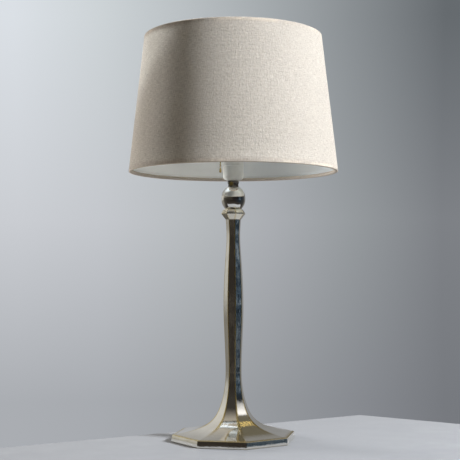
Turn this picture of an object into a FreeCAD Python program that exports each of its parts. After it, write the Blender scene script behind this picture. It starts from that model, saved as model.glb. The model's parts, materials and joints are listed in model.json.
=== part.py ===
"""Candlestick table lamp: octagonal silver-plated stick, pull-chain lampholder, tapered linen drum shade.

Millimetres. The origin is on the table, on the lamp's axis; +Z is up and -Y is the front flat of the foot.
Every driving size is in SIZES, which fills the spreadsheet; a size in the model is a sum of those names.
"""
import FreeCAD
import Part
import Sketcher
import os
import math

SIZES = {
    # octagonal foot: each radius is a circumradius, to the arris
    "foot_low": 0.6, "band_low_radius": 104.6, "band_top": 11.7, "band_top_radius": 103.2,
    "flare_radius_1": 82.0, "flare_height_1": 15.0,
    "flare_radius_2": 64.0, "flare_height_2": 19.4,
    "flare_radius_3": 49.0, "flare_height_3": 25.2,
    "flare_radius_4": 37.5, "flare_height_4": 33.0,
    "flare_radius_5": 29.0, "flare_height_5": 43.0,
    "flare_radius_6": 22.4, "flare_height_6": 57.5,
    "flare_radius_7": 17.1, "flare_height_7": 76.0,
    "foot_top_radius": 13.5, "foot_top": 112.0,
    "shell_wall": 2.4, "cavity_top_radius": 20.0, "cavity_top": 54.0, "bore_start": 52.0,
    # octagonal stem
    "stem_radius_1": 14.1, "stem_height_1": 142.0,
    "stem_radius_2": 15.5, "stem_height_2": 176.0,
    "stem_radius_3": 16.7, "stem_height_3": 208.0,
    "stem_radius_4": 16.6, "stem_height_4": 240.0,
    "stem_radius_5": 15.2, "stem_height_5": 276.0,
    "stem_radius_6": 13.1, "stem_height_6": 308.0,
    "stem_radius_7": 11.5, "stem_height_7": 338.0,
    "stem_top_radius": 13.0, "stem_top": 366.0,
    "stem_bore": 7.0,
    # collar, ball and neck between the stem and the lampholder
    "collar_low": 367.6, "collar_low_radius": 14.2, "collar_edge_radius": 20.3, "collar_edge_low": 375.4,
    "collar_edge_high": 377.2, "collar_top_radius": 16.4, "collar_top": 383.0,
    "ball_radius": 20.3, "ball_half_height": 22.6, "ball_centre": 400.8, "ball_top": 420.0,
    "neck_radius": 9.0, "neck_bead_radius": 9.5, "neck_bead_low": 426.6, "neck_bead_high": 429.2,
    "neck_top": 431.2, "bead_edge": 0.5, "rod_clearance": 5.3,
    # ballast, bottom plate, pad and the rod that clamps the stick together
    "pad_thickness": 1.6, "pad_radius": 99.0, "plate_top": 3.2, "plate_radius": 100.5,
    "ballast_low": 3.4, "ballast_gap": 1.5, "nut_well_radius": 13.0, "nut_well_top": 13.2,
    "half_cord_way": 4.5, "cord_way_top": 10.5, "plate_hole_radius": 10.0,
    "rod_radius": 5.0, "rod_bore": 3.5, "rod_low": 5.0, "rod_top": 442.0,
    "washer_radius": 11.0, "washer_bore": 5.1, "washer_low": 11.6, "washer_top": 13.1,
    "nut_low": 6.4, "nut_top": 11.5, "nut_corner_radius": 9.2, "nut_bore": 5.05,
    # cord inlet in the rear flat
    "inlet_radius": 4.0, "inlet_height": 6.0, "inlet_start": 76.0, "inlet_length": 30.0,
    "bush_flange_radius": 4.9, "bush_flange_thickness": 1.6, "bush_barrel_radius": 3.9, "bush_length": 11.0,
    "bush_seat": 96.7, "bush_bore": 2.9, "bush_bore_start": 86.0, "bush_bore_length": 15.0,
    "half_notch": 5.0, "notch_front": 86.5, "notch_depth": 20.0,
    # lampholder
    "cap_low": 431.3, "cap_flat_radius": 10.0, "cap_round": 8.0, "cap_radius": 17.2, "cap_top": 466.0,
    "cap_arc": 8.2, "cap_inner_arc": 8.0,
    "screw_height": 439.3, "screw_radius": 1.25, "screw_length": 11.9, "screw_hole_radius": 1.3,
    "screw_hole_start": 4.5, "screw_hole_length": 14.0, "half_slot": 1.3, "slot_depth": 1.2,
    "slot_low": 439.0, "slot_high": 439.6,
    "holder_wall": 1.8, "entry_radius": 5.1, "boss_radius": 8.0, "boss_top": 444.0,
    "body_radius": 19.0, "body_bore": 16.4, "body_throat": 15.1, "body_top": 500.0,
    "flange_radius": 26.5, "flange_low": 480.0, "flange_top": 482.0,
    "block_radius": 15.1, "block_low": 454.0, "block_top": 476.4,
    "pocket_depth": 12.4, "half_pocket": 4.5, "pocket_low": 458.5, "pocket_top": 471.5,
    "wire_way_radius": 2.0, "wire_way_x": 4.0, "wire_way_y": 9.0,
    "terminal_radius": 2.2, "terminal_low": 452.4, "terminal_top": 453.9, "terminal_x": 10.0, "terminal_y": 5.0,
    "shank_radius": 1.4, "shank_low": 453.8,
    "shell_bore": 13.5, "shell_radius": 13.9, "shell_low": 476.5, "shell_top": 497.5,
    "shell_floor_bore": 7.0, "shell_floor_top": 477.1,
    "clamp_low": 484.7, "clamp_top": 491.5, "clamp_radius": 27.5, "clamp_bore": 19.1,
    "clamp_skirt_radius": 21.8, "clamp_flange_top": 486.6, "clamp_skirt_low": 487.4,
    # pull switch
    "chain_offset": 22.2, "nozzle_radius": 2.9, "nozzle_bore": 1.9, "nozzle_low": 465.6, "nozzle_top": 478.0,
    "nozzle_roof": 477.0, "stub_height": 470.0, "stub_radius": 2.5, "stub_start": 18.8, "stub_length": 3.4,
    "window_start": 14.0, "window_length": 10.0,
    "chain_top": 475.0, "chain_end": 454.2, "bead_radius": 1.2, "bead_pitch": 3.05,
    "link_radius": 0.55, "link_low": 453.2,
    "drop_low": 445.2, "drop_radius": 1.75, "drop_round_low": 446.2, "drop_round_high": 450.2, "drop_neck": 0.9,
    "pin_offset": 8.5, "pin_height": 465.0, "pin_radius": 1.0,
    "half_lever": 1.2, "lever_end": 13.5, "lever_length": 8.0, "lever_half_depth": 1.5, "hub_radius": 2.6,
    "pin_hole": 1.3, "pin_hole_start": 3.0, "pin_hole_length": 6.0,
    "spring_radius": 2.1, "spring_start": 1.9, "spring_length": 1.4,
    "strip_length": 8.4, "strip_start": 2.0, "strip_width": 4.0, "strip_top": 476.55,
    # bulb, standard 60 mm pear shape on a 27 mm screw cap
    "contact_low": 476.9, "contact_radius": 4.5, "contact_top": 479.6,
    "glazing_radius": 9.5, "glazing_edge": 481.2, "glazing_top": 482.4,
    "bulb_cap_radius": 13.1, "bulb_cap_low": 484.4, "bulb_cap_inside": 484.7, "bulb_cap_top": 502.6,
    "bulb_cap_wall": 0.5,
    "glass_neck_radius": 12.9, "glass_neck_low": 502.8, "globe_radius": 30.0, "globe_centre": 552.0,
    "globe_shoulder_radius": 24.0, "globe_shoulder": 534.0, "globe_neck_arc": 52.0, "glass_wall": 0.8,
    "mount_flare": 9.0, "mount_shoulder": 514.8, "mount_radius": 3.0, "mount_top": 530.0,
    "filament_radius": 9.0, "filament_wire": 0.5, "filament_height": 544.0,
    "leg_start": 1.0, "leg_low": 529.5, "leg_length": 16.4,
    # shade frame, lining, cover and hems
    "shade_low": 445.2, "shade_top": 672.9, "shade_low_radius": 175.0, "shade_top_radius": 149.3,
    "cover_wall": 0.9, "lining_wall": 0.8, "hem_height": 5.5, "hem_proud": 0.5, "hem_fold": 0.6,
    "wire_radius": 1.7, "wire_gap": 0.1, "wire_rise": 2.4,
    "fitter_low": 482.3, "fitter_top": 484.3, "fitter_bore": 20.3, "fitter_radius": 31.5,
    "strut_radius": 1.6, "strut_start": 30.2, "strut_sink": 0.6, "weld": 0.5,
    # how far a cutting shape runs on past what it cuts
    "overrun": 1.0,
}

FLATS = 8
HALF_FLAT = 180.0 / FLATS
STRUTS = 4
FIRST_STRUT = 45.0
LEG_LEAN = (8.5, 0, 14)

doc = FreeCAD.newDocument("lamp")
sheet = doc.addObject("Spreadsheet::Sheet", "sizes")
for row, (alias, number) in enumerate(SIZES.items(), start=1):
    sheet.set("A%d" % row, alias)
    sheet.set("B%d" % row, str(number))
    sheet.setAlias("B%d" % row, alias)
doc.recompute()

parts = []


def words(text):
    """Splits a sum such as 'cap_low + cap_round - 2' into its words."""
    return text.replace("+", " + ").replace("-", " - ").split()


def formula(text):
    """The sum as an expression on the spreadsheet."""
    return " ".join("sizes." + word if word in SIZES else word for word in words(text))


def measure(text):
    """The sum as a number, for first positions and for shapes made in code."""
    total = 0.0
    sign = 1
    for word in words(text):
        if word in "+-":
            sign = 1 if word == "+" else -1
        else:
            total += sign * (SIZES[word] if word in SIZES else float(word))
    return total


def difference(high, low):
    """The sum high less low, each itself a sum."""
    flipped = {"+": "-", "-": "+"}
    terms = words(low)
    if terms[0] not in flipped:
        terms = ["+"] + terms
    return high + " " + " ".join(flipped.get(word, word) for word in terms)


def bind(thing, **sizes):
    """Binds each property to its sum; x, y and z are the object's place."""
    for name, text in sizes.items():
        path = "Placement.Base." + name if name in ("x", "y", "z") else name
        thing.setExpression(path, formula(text))


def keep(thing, label):
    """Marks an object as a finished sub-part whose file is named by its label."""
    thing.Label = label
    parts.append(thing)
    return thing


def rod(name, radius, low, high, x="0", y="0"):
    """An upright solid cylinder."""
    thing = doc.addObject("Part::Cylinder", name)
    bind(thing, Radius=radius, Height=difference(high, low), x=x, y=y, z=low)
    return thing


def lying_rod(name, radius, length, direction, x="0", y="0", z="0"):
    """A solid cylinder along a direction, from its place."""
    thing = doc.addObject("Part::Cylinder", name)
    bind(thing, Radius=radius, Height=length)
    thing.Placement.Rotation = FreeCAD.Rotation(FreeCAD.Vector(0, 0, 1), FreeCAD.Vector(*direction))
    bind(thing, x=x, y=y, z=z)
    return thing


def brick(name, length, width, low, high, x="0", y="0"):
    """An upright box with its corner at x, y."""
    thing = doc.addObject("Part::Box", name)
    bind(thing, Length=length, Width=width, Height=difference(high, low), x=x, y=y, z=low)
    return thing


def cut(name, base, *tools):
    """The base with each tool taken out of it."""
    for number, tool in enumerate(tools):
        result = doc.addObject("Part::Cut", "%s_%d" % (name, number))
        result.Base = base
        result.Tool = tool
        base = result
    return base


def fuse(name, *shapes):
    result = doc.addObject("Part::MultiFuse", name)
    result.Shapes = list(shapes)
    return result


def tube(name, outer, bore, low, high, x="0", y="0"):
    return cut(name, rod(name + "_outside", outer, low, high, x, y),
               rod(name + "_bore", bore, low + " - overrun", high + " + overrun", x, y))


def octagon(name, radius, height):
    """A level octagon with flats facing -Y, +X, +Y and -X, by its circumradius."""
    ring = doc.addObject("Part::RegularPolygon", name)
    ring.Polygon = FLATS
    ring.Placement.Rotation = FreeCAD.Rotation(FreeCAD.Vector(0, 0, 1), HALF_FLAT)
    bind(ring, Circumradius=radius, z=height)
    return ring


def octagonal(name, stations, ruled=False):
    """A solid through level octagons, given as (circumradius, height)."""
    loft = doc.addObject("Part::Loft", name)
    loft.Sections = [octagon("%s_ring_%d" % (name, number), *station) for number, station in enumerate(stations)]
    loft.Solid = True
    loft.Ruled = ruled
    return loft


def arc_centre(start, end, radius, side):
    """The centre of an arc between two points; side is 1 with the centre on the left of the way, -1 on the right."""
    chord = end - start
    rise = math.sqrt(max(radius ** 2 - (chord.Length / 2) ** 2, 0.0))
    left = FreeCAD.Vector(-chord.y, chord.x, 0).normalize()
    return (start + end) * 0.5 + left * (side * rise)


def plane_of(body, role):
    """One of the body's own origin planes."""
    return next(part for part in body.Origin.OriginFeatures if part.Role == role)


def turned(label, outline):
    """A body turned about Z from a closed outline.

    Each corner is (radius, height), or (radius, height, arc radius, side) where an arc leads to it.
    Every corner is bound to the spreadsheet.
    """
    body = doc.addObject("PartDesign::Body", label)
    sketch = body.newObject("Sketcher::SketchObject", label + "_outline")
    sketch.AttachmentSupport = (plane_of(body, "XZ_Plane"), [""])
    sketch.MapMode = "FlatFace"
    corners = [FreeCAD.Vector(measure(corner[0]), measure(corner[1]), 0) for corner in outline]
    ends = []
    for number, corner in enumerate(outline):
        start, end = corners[number - 1], corners[number]
        if len(corner) == 2:
            edge = sketch.addGeometry(Part.LineSegment(start, end))
            ends.append((edge, 1, 2))
            continue
        radius, side = measure(corner[2]), corner[3]
        centre = arc_centre(start, end, radius, side)
        first, last = (start, end) if side == 1 else (end, start)
        angles = [math.atan2(point.y - centre.y, point.x - centre.x) for point in (first, last)]
        circle = Part.Circle(centre, FreeCAD.Vector(0, 0, 1), radius)
        edge = sketch.addGeometry(Part.ArcOfCircle(circle, *angles))
        ends.append((edge, 1, 2) if side == 1 else (edge, 2, 1))
        bound = sketch.addConstraint(Sketcher.Constraint("Radius", edge, radius))
        sketch.setExpression("Constraints[%d]" % bound, formula(corner[2]))
    for number, corner in enumerate(outline):
        edge, _, tail = ends[number]
        following, head, _ = ends[(number + 1) % len(outline)]
        sketch.addConstraint(Sketcher.Constraint("Coincident", edge, tail, following, head))
        place_corner(sketch, edge, tail, corner)
    turn = body.newObject("PartDesign::Revolution", label + "_turn")
    turn.Profile = sketch
    turn.ReferenceAxis = (sketch, ["V_Axis"])
    turn.Angle = 360
    return body


def place_corner(sketch, edge, end, corner):
    """Holds a corner at its radius and height from the sketch's origin."""
    for kind, text in zip(("DistanceX", "DistanceY"), corner):
        number = measure(text)
        if number == 0:
            axis = -2 if kind == "DistanceX" else -1
            sketch.addConstraint(Sketcher.Constraint("PointOnObject", edge, end, axis))
            continue
        bound = sketch.addConstraint(Sketcher.Constraint(kind, -1, 1, edge, end, number))
        sketch.setExpression("Constraints[%d]" % bound, formula(text))


# ---- octagonal stick -------------------------------------------------------------------------------

FLARE = [("flare_radius_%d" % n, "flare_height_%d" % n) for n in range(1, 8)]
STEM = [("stem_radius_%d" % n, "stem_height_%d" % n) for n in range(1, 8)]
UNDER_RIM = "band_top - shell_wall"
HOLLOW = [("band_top_radius - shell_wall", UNDER_RIM)]
HOLLOW += [(radius + " - shell_wall", height + " - shell_wall") for radius, height in FLARE[:5]]
HOLLOW += [("cavity_top_radius", "cavity_top")]


def make_foot():
    """Hollow octagonal foot: a low upright band and a concave flare that rises into the stem."""
    band = octagonal("foot_band", [("band_low_radius", "foot_low"), ("band_top_radius", "band_top")], ruled=True)
    flare = octagonal("foot_flare", [("band_top_radius", "band_top")] + FLARE + [("foot_top_radius", "foot_top")])
    outside = fuse("foot_outside", band, flare)
    well = octagonal("foot_well", [("band_top_radius - shell_wall", "foot_low - overrun"), HOLLOW[0]], ruled=True)
    roof = octagonal("foot_roof", HOLLOW, ruled=True)
    bore = rod("foot_bore", "stem_bore", "bore_start", "foot_top + overrun")
    inlet = lying_rod("foot_inlet", "inlet_radius", "inlet_length", (0, 1, 0), y="inlet_start", z="inlet_height")
    return keep(cut("foot", outside, well, roof, bore, inlet), "foot")


def make_stem():
    outside = octagonal("stem_outside", [("foot_top_radius", "foot_top")] + STEM + [("stem_top_radius", "stem_top")])
    bore = rod("stem_hole", "stem_bore", "foot_top - overrun", "stem_top + overrun")
    return keep(cut("stem", outside, bore), "stem")


def make_collar():
    """Octagonal collar with a bevel above and below its edge."""
    rings = [("stem_top_radius", "stem_top"), ("collar_low_radius", "collar_low"),
             ("collar_edge_radius", "collar_edge_low"), ("collar_edge_radius", "collar_edge_high"),
             ("collar_top_radius", "collar_top")]
    outside = octagonal("collar_outside", rings, ruled=True)
    bore = rod("collar_hole", "rod_clearance", "stem_top - overrun", "collar_top + overrun")
    return keep(cut("collar", outside, bore), "collar")


def make_ball():
    """Ball knop, a little taller than wide, cut flat below and above."""
    ball = doc.addObject("Part::Ellipsoid", "ball_round")
    bind(ball, Radius1="ball_half_height", Radius2="ball_radius", Radius3="ball_radius", z="ball_centre")
    trim = rod("ball_trim", "ball_radius + overrun", "collar_top", "ball_top")
    kept = doc.addObject("Part::Common", "ball_kept")
    kept.Base = ball
    kept.Tool = trim
    bore = rod("ball_hole", "rod_clearance", "collar_top - overrun", "ball_top + overrun")
    return keep(cut("ball_knop", kept, bore), "ball_knop")


def make_neck():
    """Round neck with a raised bead under the lampholder."""
    outline = [("rod_clearance", "ball_top"), ("neck_radius", "ball_top"), ("neck_radius", "neck_bead_low"),
               ("neck_bead_radius", "neck_bead_low + bead_edge"), ("neck_bead_radius", "neck_bead_high - bead_edge"),
               ("neck_radius", "neck_bead_high"), ("neck_radius", "neck_top"), ("rod_clearance", "neck_top")]
    return keep(turned("neck", outline), "neck")


# ---- inside the foot -------------------------------------------------------------------------------

def make_ballast():
    """Poured filler that follows the foot's inside, with a well for the nut and a way for the cord to the rear."""
    rings = [(radius + " - ballast_gap", height + " - ballast_gap") for radius, height in HOLLOW]
    body = octagonal("ballast_body", [(rings[0][0], "ballast_low")] + rings, ruled=True)
    bore = rod("ballast_bore", "rod_clearance", "ballast_low - overrun", "cavity_top")
    well = rod("ballast_well", "nut_well_radius", "ballast_low - overrun", "nut_well_top")
    way = brick("ballast_way", "half_cord_way + half_cord_way", "plate_radius", "ballast_low - overrun", "cord_way_top",
                x="- half_cord_way")
    return keep(cut("ballast", body, bore, well, way), "ballast")


def make_bottom():
    """Bottom plate, notched for the cord bush, and the felt pad under it."""
    plate = octagonal("plate_outside", [("plate_radius", "pad_thickness"), ("plate_radius", "plate_top")], ruled=True)
    hole = rod("plate_hole", "plate_hole_radius", "pad_thickness - overrun", "plate_top + overrun")
    notch = brick("plate_notch", "half_notch + half_notch", "notch_depth", "pad_thickness - overrun",
                  "plate_top + overrun", x="- half_notch", y="notch_front")
    keep(cut("bottom_plate", plate, hole, notch), "bottom_plate")
    keep(octagonal("felt_pad", [("pad_radius", "0"), ("pad_radius", "pad_thickness")], ruled=True), "felt_pad")


def make_rod():
    keep(tube("tie_rod", "rod_radius", "rod_bore", "rod_low", "rod_top"), "tie_rod")
    keep(tube("rod_washer", "washer_radius", "washer_bore", "washer_low", "washer_top"), "rod_washer")
    nut = doc.addObject("Part::Prism", "nut_outside")
    nut.Polygon = 6
    bind(nut, Circumradius="nut_corner_radius", Height="nut_top - nut_low", z="nut_low")
    keep(cut("rod_nut", nut, rod("nut_hole", "nut_bore", "nut_low - overrun", "nut_top + overrun")), "rod_nut")


def make_cord_bush():
    """Flanged bush in the rear flat, where a cord would enter."""
    flange = lying_rod("bush_flange", "bush_flange_radius", "bush_flange_thickness", (0, 1, 0),
                       y="bush_seat", z="inlet_height")
    barrel = lying_rod("bush_barrel", "bush_barrel_radius", "bush_length", (0, 1, 0),
                       y="bush_seat + bush_flange_thickness - bush_length", z="inlet_height")
    bore = lying_rod("bush_hole", "bush_bore", "bush_bore_length", (0, 1, 0),
                     y="bush_bore_start", z="inlet_height")
    keep(cut("cord_bush", fuse("bush_outside", flange, barrel), bore), "cord_bush")


# ---- lampholder ------------------------------------------------------------------------------------

def make_holder_cap():
    """Domed cap screwed on the rod, with a threaded boss inside."""
    inside_radius = "cap_radius - holder_wall"
    floor = "cap_low + holder_wall"
    outline = [("entry_radius", "cap_low"), ("cap_flat_radius", "cap_low"),
               ("cap_radius", "cap_low + cap_round", "cap_arc", 1), ("cap_radius", "cap_top"),
               (inside_radius, "cap_top"), (inside_radius, floor + " + cap_round"),
               ("cap_flat_radius", floor, "cap_inner_arc", -1), ("boss_radius", floor), ("boss_radius", "boss_top"),
               ("entry_radius", "boss_top")]
    cap = turned("cap_turned", outline)
    hole = lying_rod("cap_screw_hole", "screw_hole_radius", "screw_hole_length", (0, -1, 0),
                     y="- screw_hole_start", z="screw_height")
    return keep(cut("holder_cap", cap, hole), "holder_cap")


def make_lock_screw():
    """Grub screw that locks the cap on the rod."""
    screw = lying_rod("lock_screw_shank", "screw_radius", "screw_length", (0, -1, 0),
                      y="- rod_radius", z="screw_height")
    slot = brick("lock_screw_slot", "half_slot + half_slot", "slot_depth", "slot_low", "slot_high",
                 x="- half_slot", y="- cap_radius")
    return keep(cut("cap_lock_screw", screw, slot), "cap_lock_screw")


def make_holder_body():
    """Upper skirt with the flange that carries the shade; a window at -X lets the chain in."""
    outline = [("body_bore", "cap_top"), ("body_radius", "cap_top"), ("body_radius", "flange_low"),
               ("flange_radius", "flange_low"), ("flange_radius", "flange_top"), ("body_radius", "flange_top"),
               ("body_radius", "body_top"), ("body_throat", "body_top"),
               ("body_throat", "shell_low"), ("body_bore", "shell_low")]
    body = turned("body_turned", outline)
    window = lying_rod("body_window", "nozzle_bore", "window_length", (-1, 0, 0), x="- window_start", z="stub_height")
    return keep(cut("holder_body", body, window), "holder_body")


def make_block():
    """Ceramic block that carries the contacts, with a pocket for the switch lever."""
    block = rod("block_outside", "block_radius", "block_low", "block_top")
    pocket = brick("block_pocket", "pocket_depth", "half_pocket + half_pocket", "pocket_low", "pocket_top",
                   x="- block_radius", y="- half_pocket")
    wire_ways = [rod("block_way_%s" % side, "wire_way_radius", "block_low - overrun", "block_top + overrun",
                     x="wire_way_x", y=side + " wire_way_y") for side in ("-", "+")]
    keep(cut("holder_block", block, pocket, *wire_ways), "holder_block")
    heads = [rod("terminal_screw_%s" % word, "terminal_radius", "terminal_low", "terminal_top", x="terminal_x", y=y)
             for word, y in (("left", "- terminal_y"), ("right", "terminal_y"))]
    shanks = [rod("terminal_shank_%s" % word, "shank_radius", "shank_low", "block_low", x="terminal_x", y=y)
              for word, y in (("left", "- terminal_y"), ("right", "terminal_y"))]
    keep(fuse("terminal_screws", *heads, *shanks), "terminal_screws")


def make_screw_shell():
    """Threaded brass shell for the bulb's cap, drawn here at its thread's bore."""
    outline = [("shell_floor_bore", "shell_low"), ("shell_radius", "shell_low"), ("shell_radius", "shell_top"),
               ("shell_bore", "shell_top"), ("shell_bore", "shell_floor_top"), ("shell_floor_bore", "shell_floor_top")]
    keep(turned("screw_shell", outline), "screw_shell")
    strip = brick("contact_strip", "strip_length", "strip_width", "block_top", "strip_top",
                  x="- strip_start", y="- strip_start")
    keep(strip, "centre_contact")


def make_clamp_ring():
    """Ring screwed down on the shade's fitter."""
    outline = [("clamp_bore", "clamp_low"), ("clamp_radius", "clamp_low"), ("clamp_radius", "clamp_flange_top"),
               ("clamp_skirt_radius", "clamp_skirt_low"), ("clamp_skirt_radius", "clamp_top"),
               ("clamp_bore", "clamp_top")]
    keep(turned("shade_clamp_ring", outline), "shade_clamp_ring")


# ---- pull switch -----------------------------------------------------------------------------------

def make_nozzle():
    """Bell nozzle that turns the chain downwards, on a stub from the lampholder's side."""
    outside = rod("nozzle_outside", "nozzle_radius", "nozzle_low", "nozzle_top", x="- chain_offset")
    stub = lying_rod("nozzle_stub", "stub_radius", "stub_length", (-1, 0, 0), x="- stub_start", z="stub_height")
    hole = rod("nozzle_hole", "nozzle_bore", "nozzle_low - overrun", "nozzle_roof", x="- chain_offset")
    return keep(cut("chain_nozzle", fuse("nozzle_whole", outside, stub), hole), "chain_nozzle")


def make_chain():
    """Ball chain: a row of beads on one thin link, from inside the nozzle down to the drop."""
    beads = []
    count = int(measure("chain_top - chain_end") / SIZES["bead_pitch"]) + 1
    for number in range(count):
        bead = doc.addObject("Part::Sphere", "bead_%d" % number)
        bind(bead, Radius="bead_radius", x="- chain_offset")
        bead.setExpression("Placement.Base.z", "sizes.chain_top - %d * sizes.bead_pitch" % number)
        beads.append(bead)
    link = rod("chain_link", "link_radius", "link_low", "chain_top", x="- chain_offset")
    keep(fuse("pull_chain", link, *beads), "pull_chain")
    drop = turned("drop_turned", [("0", "drop_low"), ("drop_radius", "drop_round_low"),
                                  ("drop_radius", "drop_round_high"), ("drop_neck", "link_low"), ("0", "link_low")])
    bind(drop, x="- chain_offset")
    keep(drop, "chain_drop")


def make_switch():
    """Lever on a pin in the block's pocket; pulling the chain turns it against its spring."""
    thickness = "half_lever + half_lever"
    arm = brick("lever_arm", "lever_length", thickness, "pin_height - lever_half_depth",
                "pin_height + lever_half_depth", x="- lever_end", y="- half_lever")
    hub = lying_rod("lever_hub", "hub_radius", thickness, (0, 1, 0), x="- pin_offset", y="- half_lever", z="pin_height")
    hole = lying_rod("lever_hole", "pin_hole", "pin_hole_length", (0, 1, 0),
                     x="- pin_offset", y="- pin_hole_start", z="pin_height")
    keep(cut("switch_lever", fuse("lever_whole", arm, hub), hole), "switch_lever")
    pin = lying_rod("lever_pin", "pin_radius", "half_pocket + half_pocket", (0, 1, 0),
                    x="- pin_offset", y="- half_pocket", z="pin_height")
    keep(pin, "lever_pin")
    coil = lying_rod("spring_outside", "spring_radius", "spring_length", (0, 1, 0),
                     x="- pin_offset", y="spring_start", z="pin_height")
    coil_hole = lying_rod("spring_hole", "pin_hole", "spring_length + overrun + overrun", (0, 1, 0),
                          x="- pin_offset", y="spring_start - overrun", z="pin_height")
    keep(cut("switch_spring", coil, coil_hole), "switch_spring")


# ---- bulb ------------------------------------------------------------------------------------------

def make_bulb():
    keep(rod("bulb_contact", "contact_radius", "contact_low", "contact_top"), "bulb_contact")
    glazing = [("0", "contact_top"), ("contact_radius", "contact_top"), ("glazing_radius", "glazing_edge"),
               ("glazing_radius", "glazing_top"), ("0", "glazing_top")]
    keep(turned("bulb_insulator", glazing), "bulb_insulator")
    inside = "bulb_cap_radius - bulb_cap_wall"
    shell = [("glazing_radius", "glazing_top"), ("bulb_cap_radius", "bulb_cap_low"),
             ("bulb_cap_radius", "bulb_cap_top"), (inside, "bulb_cap_top"), (inside, "bulb_cap_inside"),
             ("glazing_radius - bulb_cap_wall", "glazing_top")]
    keep(turned("bulb_cap", shell), "bulb_cap")
    glass = [("glass_neck_radius", "glass_neck_low"), ("globe_shoulder_radius", "globe_shoulder", "globe_neck_arc", -1),
             ("globe_radius", "globe_centre", "globe_radius", 1),
             ("0", "globe_centre + globe_radius", "globe_radius", 1),
             ("0", "globe_centre + globe_radius - glass_wall"),
             ("globe_radius - glass_wall", "globe_centre", "globe_radius - glass_wall", -1),
             ("globe_shoulder_radius - glass_wall", "globe_shoulder", "globe_radius - glass_wall", -1),
             ("glass_neck_radius - glass_wall", "glass_neck_low", "globe_neck_arc + glass_wall", 1)]
    keep(turned("bulb_glass", glass), "bulb_glass")
    mount = [("0", "glass_neck_low"), ("mount_flare", "glass_neck_low"), ("mount_radius", "mount_shoulder"),
             ("mount_radius", "mount_top"), ("0", "mount_top")]
    keep(turned("bulb_mount", mount), "bulb_mount")
    ring = doc.addObject("Part::Torus", "filament_ring")
    bind(ring, Radius1="filament_radius", Radius2="filament_wire", z="filament_height")
    out, _, rise = LEG_LEAN
    legs = [lying_rod("filament_leg_%s" % word, "filament_wire", "leg_length", (side * out, 0, rise),
                      x=start, z="leg_low")
            for word, side, start in (("left", -1, "- leg_start"), ("right", 1, "leg_start"))]
    keep(fuse("bulb_filament", ring, *legs), "bulb_filament")


# ---- shade -----------------------------------------------------------------------------------------

def skin_radius(inset, height):
    """The expression for the radius at an inset from the shade's outside, both given as sums."""
    return ("sizes.shade_low_radius - (%s) - (%s - sizes.shade_low)"
            " * (sizes.shade_low_radius - sizes.shade_top_radius) / (sizes.shade_top - sizes.shade_low)"
            % (formula(inset), "(" + formula(height) + ")"))


def frustum(name, inset, low, high):
    """A solid frustum parallel to the shade's outside, inset from it, between two heights."""
    cone = doc.addObject("Part::Cone", name)
    cone.setExpression("Radius1", skin_radius(inset, low))
    cone.setExpression("Radius2", skin_radius(inset, high))
    cone.setExpression("Height", "(%s) - (%s)" % (formula(high), formula(low)))
    cone.setExpression("Placement.Base.z", formula(low))
    return cone


def frustum_shell(name, outer, inner, low, high):
    return cut(name, frustum(name + "_outside", outer, low, high),
               frustum(name + "_inside", inner, low + " - overrun", high + " + overrun"))


def make_cover():
    """Linen cover on a stiff lining, each the shade's full height between the hems' folds."""
    low, high = "shade_low + hem_fold", "shade_top - hem_fold"
    keep(frustum_shell("shade_cover", "hem_proud", "hem_proud + cover_wall", low, high), "shade_cover")
    keep(frustum_shell("shade_lining", "hem_proud + cover_wall", "hem_proud + cover_wall + lining_wall", low, high),
         "shade_lining")


WIRE_INSET = "hem_proud + cover_wall + lining_wall + wire_radius + wire_gap"


def wire_ring(name, height):
    """A ring of the frame just inside the lining."""
    ring = doc.addObject("Part::Torus", name)
    ring.setExpression("Radius1", skin_radius(WIRE_INSET, height))
    ring.setExpression("Radius2", "sizes.wire_radius")
    ring.setExpression("Placement.Base.z", formula(height))
    return ring


def make_hem(name, low, high):
    """Tape folded over an edge of the shade, round its wire."""
    return frustum_shell(name, "0", "hem_proud", low, high)


def make_frame():
    keep(wire_ring("bottom_wire", "shade_low + wire_rise"), "bottom_wire")
    keep(wire_ring("top_wire", "shade_top - wire_rise"), "top_wire")
    keep(make_hem("bottom_hem", "shade_low", "shade_low + hem_height"), "bottom_hem")
    keep(make_hem("top_hem", "shade_top - hem_height", "shade_top"), "top_hem")
    keep(tube("fitter_ring", "fitter_radius", "fitter_bore", "fitter_low", "fitter_top"), "fitter_ring")


def make_struts():
    """Straight wires from the fitter's rim up to the top ring, one above each corner of the compass."""
    slope = measure("shade_low_radius - shade_top_radius") / measure("shade_top - shade_low")
    height = measure("shade_top - wire_rise")
    reach = SIZES["shade_low_radius"] - measure(WIRE_INSET) - (height - SIZES["shade_low"]) * slope
    start = FreeCAD.Vector(measure("strut_start"), 0, measure("fitter_top - strut_sink"))
    end = FreeCAD.Vector(reach - measure("wire_radius - weld"), 0, height)
    way = end - start
    wires = []
    for number in range(STRUTS):
        turn = FreeCAD.Rotation(FreeCAD.Vector(0, 0, 1), FIRST_STRUT + number * 360.0 / STRUTS)
        wire = Part.makeCylinder(SIZES["strut_radius"], way.Length, turn.multVec(start), turn.multVec(way))
        wires.append(wire)
    struts = doc.addObject("Part::Feature", "fitter_struts")
    struts.Shape = Part.makeCompound(wires)
    keep(struts, "fitter_struts")


def check_and_write():
    """Recomputes, checks every object and writes one file for each sub-part."""
    doc.recompute()
    failed = [thing.Name for thing in doc.Objects if {"Invalid", "Error"} & set(thing.State)]
    if failed:
        raise RuntimeError("failed objects: %s" % failed)
    for part in parts:
        shape = part.Shape
        if shape.isNull() or not shape.isValid() or shape.Volume <= 0:
            raise RuntimeError("bad shape: " + part.Label)
    os.makedirs("parts", exist_ok=True)
    for part in parts:
        part.Shape.exportStep("parts/%s.step" % part.Label)
        print("%-18s %2d solid(s) %10.1f mm3" % (part.Label, len(part.Shape.Solids), part.Shape.Volume))


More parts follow.
